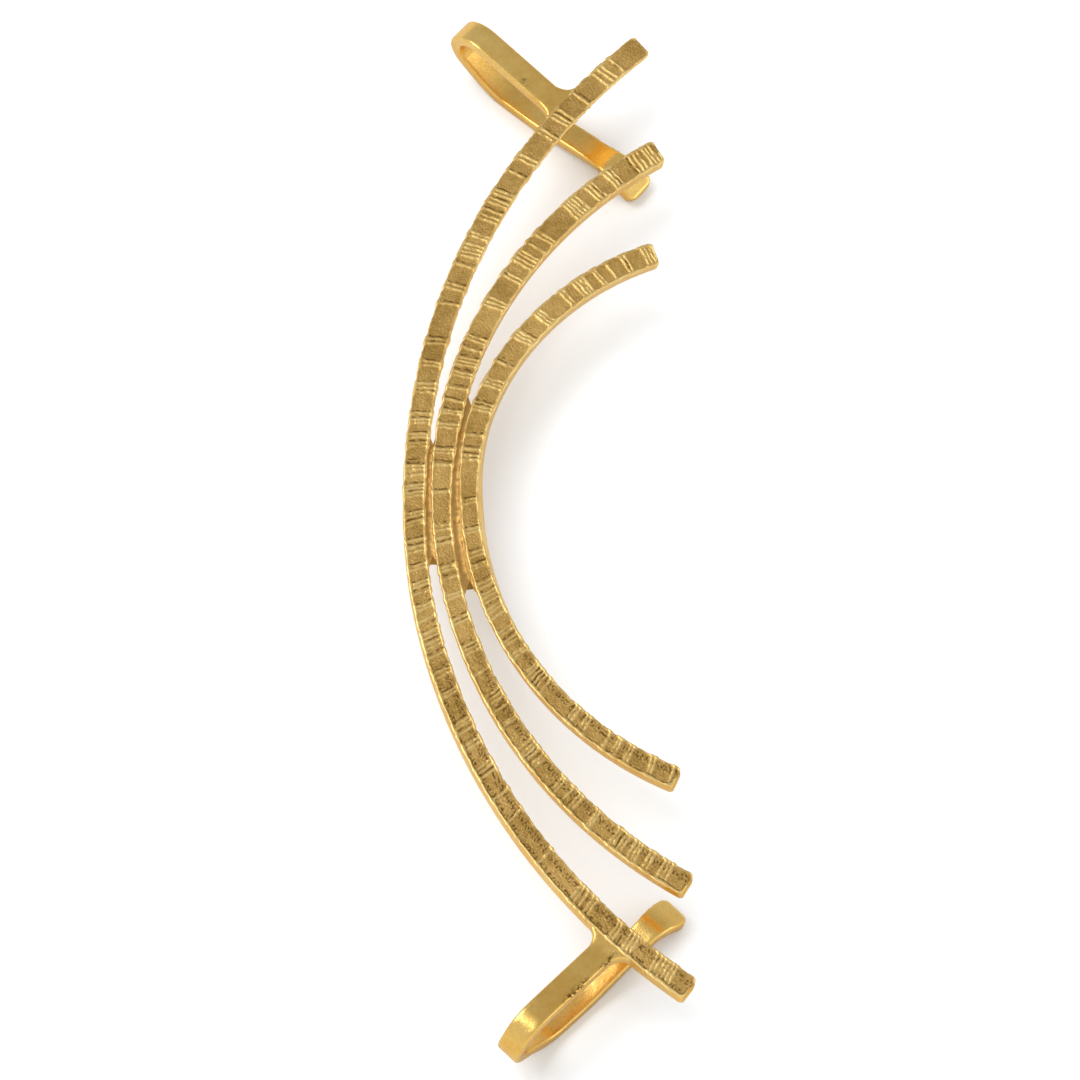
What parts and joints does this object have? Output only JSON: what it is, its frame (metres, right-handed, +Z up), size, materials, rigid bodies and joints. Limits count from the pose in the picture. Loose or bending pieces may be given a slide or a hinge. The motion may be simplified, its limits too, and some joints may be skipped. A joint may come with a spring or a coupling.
{
  "type": "ear cuff",
  "caption": "Curved ear cuff of textured metal bars joined side by side, with spring strip clips that hook behind the rim of the ear.",
  "frame": {"origin": "middle of the bounding box in X and Y, at its bottom, where the backs of the clips rest", "axes": "+Z up, out of the bars' textured faces; +Y towards the top of the ear; +X towards the hollow side of the curve, where the ear's opening is"},
  "size_m": [0.0182, 0.0728, 0.0061],
  "materials": {
    "gold": "gold plated, polished clips and rims, matte textured faces"
  },
  "bodies": {
    "root": {"ear_cuff": "gold"}
  },
  "joints": []
}
